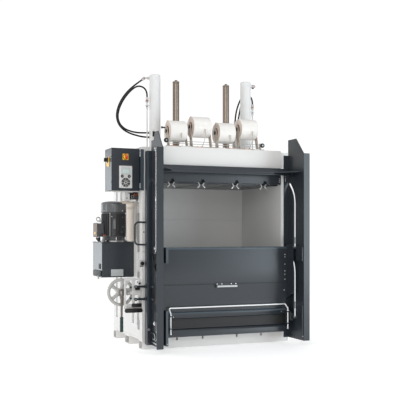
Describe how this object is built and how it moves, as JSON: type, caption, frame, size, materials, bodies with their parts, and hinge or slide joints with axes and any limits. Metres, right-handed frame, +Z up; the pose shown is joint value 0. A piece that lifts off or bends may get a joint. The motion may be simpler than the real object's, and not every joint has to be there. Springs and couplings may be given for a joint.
{
  "type": "recycling baler",
  "caption": "Upright baling press with a sliding loading door, a swinging bale door, a hydraulic unit on its side and strap rolls on top.",
  "frame": {"origin": "on the floor at the centre of the baling chamber", "axes": "+Z up, -Y towards the loading side, +X towards the hinge side of the bale door"},
  "size_m": [1.74, 1.186, 2.396],
  "materials": {
    "white_paint": "satin off-white paint",
    "grey_paint": "satin anthracite paint",
    "motor_paint": "satin dark paint",
    "steel": "zinc plated",
    "polished_steel": "polished",
    "hose_rubber": "matt hose cover",
    "black_plastic": "matt",
    "light_plastic": "matt",
    "yellow_plastic": "gloss",
    "red_plastic": "gloss",
    "strap_plastic": "wound band"
  },
  "bodies": {
    "machine": {"base_frame": "white_paint", "left_side_wall": "white_paint", "right_side_wall": "white_paint", "rear_wall": "white_paint", "front_crossbeam": "white_paint", "top_deck": "white_paint", "header_plate": "grey_paint", "strap_guides": "white_paint", "cylinder_left": "white_paint", "cylinder_right": "white_paint", "cylinder_pipes": "white_paint", "hose_fittings": "steel", "hose_left_top": "hose_rubber", "hose_left_pipe": "hose_rubber", "hose_right_top": "hose_rubber", "hose_right_pipe": "hose_rubber", "guide_bushes": "steel", "tank": "grey_paint", "motor_flange": "motor_paint", "motor_body": "motor_paint", "motor_cowl": "motor_paint", "terminal_box": "motor_paint", "lifting_eye": "steel", "valve_block": "steel", "filler_cap": "light_plastic", "control_box": "grey_paint", "lock_bracket": "white_paint", "roll_holders": "white_paint", "hinge_pins": "steel"},
    "bale_door": {"door_left_plate": "grey_paint", "door_right_plate": "grey_paint", "door_stile": "grey_paint", "ledge_crossmember": "grey_paint", "bale_door_panel": "grey_paint", "door_handle": "grey_paint", "lock_arms": "grey_paint", "guide_wires": "polished_steel", "hinge_leaves": "grey_paint"},
    "loading_door": {"sliding_door": "grey_paint", "slide_pins": "steel", "door_grip": "polished_steel"},
    "lift_bar": {"lift_bar": "polished_steel"},
    "platen": {"press_platen": "white_paint", "guide_rods": "polished_steel", "piston_rods": "polished_steel"},
    "panel_door": {"control_door": "grey_paint", "keypad_panel": "light_plastic", "isolator_plate": "yellow_plastic"},
    "isolator": {"isolator_knob": "red_plastic"},
    "side_switch": {"side_switch_knob": "black_plastic"},
    "button_left": {"keypad_button_left": "black_plastic"},
    "button_right": {"keypad_button_right": "black_plastic"},
    "lock_wheel": {"handwheel": "steel"},
    "lock_nut": {"lock_nut": "steel"},
    "lever": {"ratchet_lever": "steel", "lever_grip": "black_plastic"},
    "roll_1": {"strap_roll_1": "strap_plastic"},
    "roll_2": {"strap_roll_2": "strap_plastic"},
    "roll_3": {"strap_roll_3": "strap_plastic"},
    "roll_4": {"strap_roll_4": "strap_plastic"}
  },
  "joints": [
    {"name": "bale_door_swing", "type": "hinge", "parent": "machine", "child": "bale_door", "pos_m": [0.704, -0.452, 0.3], "axis": [0, 0, 1], "range_deg": [0, 110]},
    {"name": "loading_door_slide", "type": "slide", "parent": "bale_door", "child": "loading_door", "axis": [0, 0, 1], "range_m": [0, 0.375]},
    {"name": "lift_bar_slide", "type": "slide", "parent": "loading_door", "child": "lift_bar", "axis": [0, 0, 1], "range_m": [0, 0.03]},
    {"name": "platen_slide", "type": "slide", "parent": "machine", "child": "platen", "axis": [0, 0, -1], "range_m": [0, 0.59]},
    {"name": "panel_door_swing", "type": "hinge", "parent": "machine", "child": "panel_door", "pos_m": [-0.727, -0.42, 1.5], "axis": [0, 0, 1], "range_deg": [0, 90]},
    {"name": "isolator_turn", "type": "hinge", "parent": "panel_door", "child": "isolator", "pos_m": [-0.8545, -0.438, 1.608], "axis": [0, 1, 0], "range_deg": [0, 90]},
    {"name": "side_switch_turn", "type": "hinge", "parent": "machine", "child": "side_switch", "pos_m": [-0.992, -0.305, 1.588], "axis": [1, 0, 0], "range_deg": [0, 90]},
    {"name": "button_left_press", "type": "slide", "parent": "panel_door", "child": "button_left", "axis": [0, 1, 0], "range_m": [0, 0.002], "stiffness_N_per_m": 600, "springref_m": -0.0005},
    {"name": "button_right_press", "type": "slide", "parent": "panel_door", "child": "button_right", "axis": [0, 1, 0], "range_m": [0, 0.002], "stiffness_N_per_m": 600, "springref_m": -0.0005},
    {"name": "lock_wheel_turn", "type": "hinge", "parent": "machine", "child": "lock_wheel", "pos_m": [-0.875, -0.345, 0.481], "axis": [0, 1, 0], "range_deg": [0, 1080]},
    {"name": "lock_nut_slide", "type": "slide", "parent": "machine", "child": "lock_nut", "axis": [0, 1, 0], "range_m": [0, 0.01805]},
    {"name": "lever_swing", "type": "hinge", "parent": "machine", "child": "lever", "pos_m": [-0.875, -0.376, 0.481], "axis": [0, 1, 0], "range_deg": [-20, 60]},
    {"name": "roll_1_spin", "type": "hinge", "parent": "machine", "child": "roll_1", "pos_m": [-0.3755, -0.33, 1.853], "axis": [1, 0, 0], "continuous": true},
    {"name": "roll_2_spin", "type": "hinge", "parent": "machine", "child": "roll_2", "pos_m": [-0.157, -0.33, 1.899], "axis": [1, 0, 0], "continuous": true},
    {"name": "roll_3_spin", "type": "hinge", "parent": "machine", "child": "roll_3", "pos_m": [0.08, -0.33, 1.858], "axis": [1, 0, 0], "continuous": true},
    {"name": "roll_4_spin", "type": "hinge", "parent": "machine", "child": "roll_4", "pos_m": [0.2965, -0.33, 1.9], "axis": [1, 0, 0], "continuous": true}
  ],
  "couplings": [
    {"joint": "lock_nut_slide", "follows": "lock_wheel_turn", "m_per_rad": 0.00095493}
  ]
}
